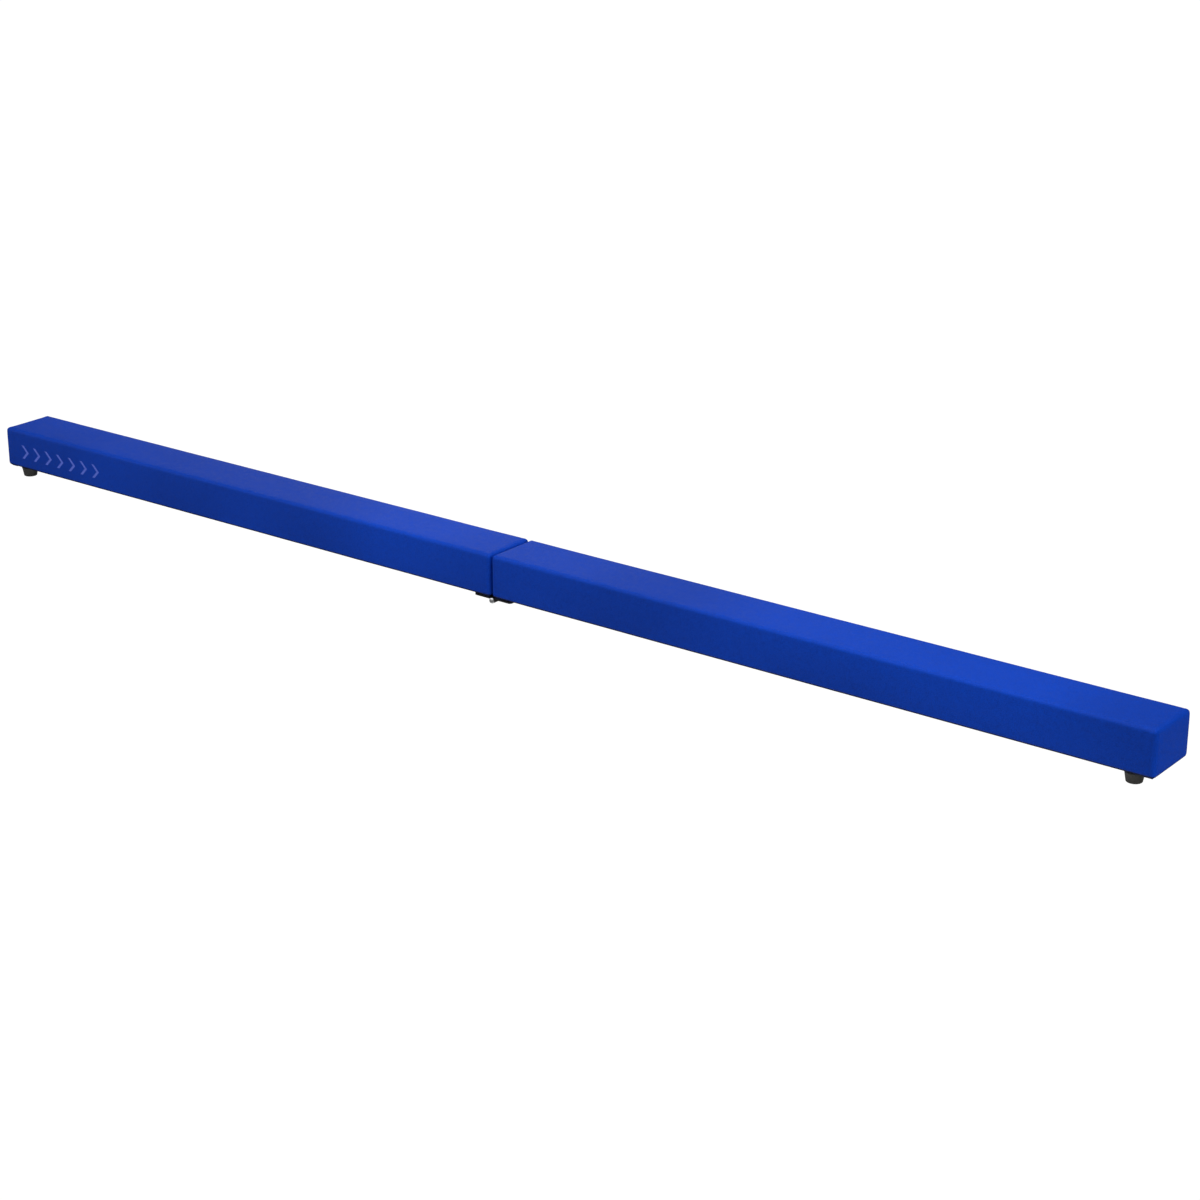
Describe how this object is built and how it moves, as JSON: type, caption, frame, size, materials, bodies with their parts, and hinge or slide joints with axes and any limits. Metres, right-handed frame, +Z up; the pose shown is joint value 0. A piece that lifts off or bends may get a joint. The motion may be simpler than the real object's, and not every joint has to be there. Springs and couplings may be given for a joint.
{
  "type": "floor balance beam",
  "caption": "Low padded balance beam for floor practice, in two upholstered halves that fold together at a hinge under the middle, standing on rubber feet.",
  "frame": {"origin": "on the floor, under the middle of the hinge and halfway across the beam", "axes": "+X along the open beam, from the left half to the right half; +Y across it, to the back; +Z up"},
  "size_m": [2.4, 0.106, 0.092],
  "materials": {
    "cover": "matte royal-blue PU-coated fabric, fine grain",
    "foam": "closed-cell polyethylene foam sheet, off-white",
    "plywood": "sanded poplar plywood",
    "pine": "planed pine",
    "dust_cloth": "black non-woven polypropylene cloth",
    "foot_rubber": "moulded black rubber, matte",
    "black_hinge": "black powder-coated steel",
    "zinc_steel": "bright zinc-plated steel"
  },
  "bodies": {
    "left_half": {"left_cover": "cover", "left_top_foam": "foam", "left_front_foam": "foam", "left_back_foam": "foam", "left_inner_end_foam": "foam", "left_outer_end_foam": "foam", "left_top_board": "plywood", "left_bottom_board": "plywood", "left_front_rail": "pine", "left_back_rail": "pine", "left_hinge_block": "pine", "left_end_block": "pine", "left_rib_1": "pine", "left_rib_2": "pine", "left_dust_cloth": "dust_cloth", "left_front_foot": "foot_rubber", "left_front_foot_washer": "zinc_steel", "left_front_foot_screw": "zinc_steel", "left_back_foot": "foot_rubber", "left_back_foot_washer": "zinc_steel", "left_back_foot_screw": "zinc_steel", "left_hinge_leaf": "black_hinge", "left_hinge_screw_1": "zinc_steel", "left_hinge_screw_2": "zinc_steel", "left_hinge_screw_3": "zinc_steel", "left_hinge_screw_4": "zinc_steel", "hinge_pin": "zinc_steel"},
    "right_half": {"right_cover": "cover", "right_top_foam": "foam", "right_front_foam": "foam", "right_back_foam": "foam", "right_inner_end_foam": "foam", "right_outer_end_foam": "foam", "right_top_board": "plywood", "right_bottom_board": "plywood", "right_front_rail": "pine", "right_back_rail": "pine", "right_hinge_block": "pine", "right_end_block": "pine", "right_rib_1": "pine", "right_rib_2": "pine", "right_dust_cloth": "dust_cloth", "right_front_foot": "foot_rubber", "right_front_foot_washer": "zinc_steel", "right_front_foot_screw": "zinc_steel", "right_back_foot": "foot_rubber", "right_back_foot_washer": "zinc_steel", "right_back_foot_screw": "zinc_steel", "right_hinge_leaf": "black_hinge", "right_hinge_screw_1": "zinc_steel", "right_hinge_screw_2": "zinc_steel", "right_hinge_screw_3": "zinc_steel", "right_hinge_screw_4": "zinc_steel"}
  },
  "joints": [
    {"name": "fold_hinge", "type": "hinge", "parent": "left_half", "child": "right_half", "pos_m": [0, 0, 0.012], "axis": [0, 1, 0], "range_deg": [0, 178.7]}
  ]
}
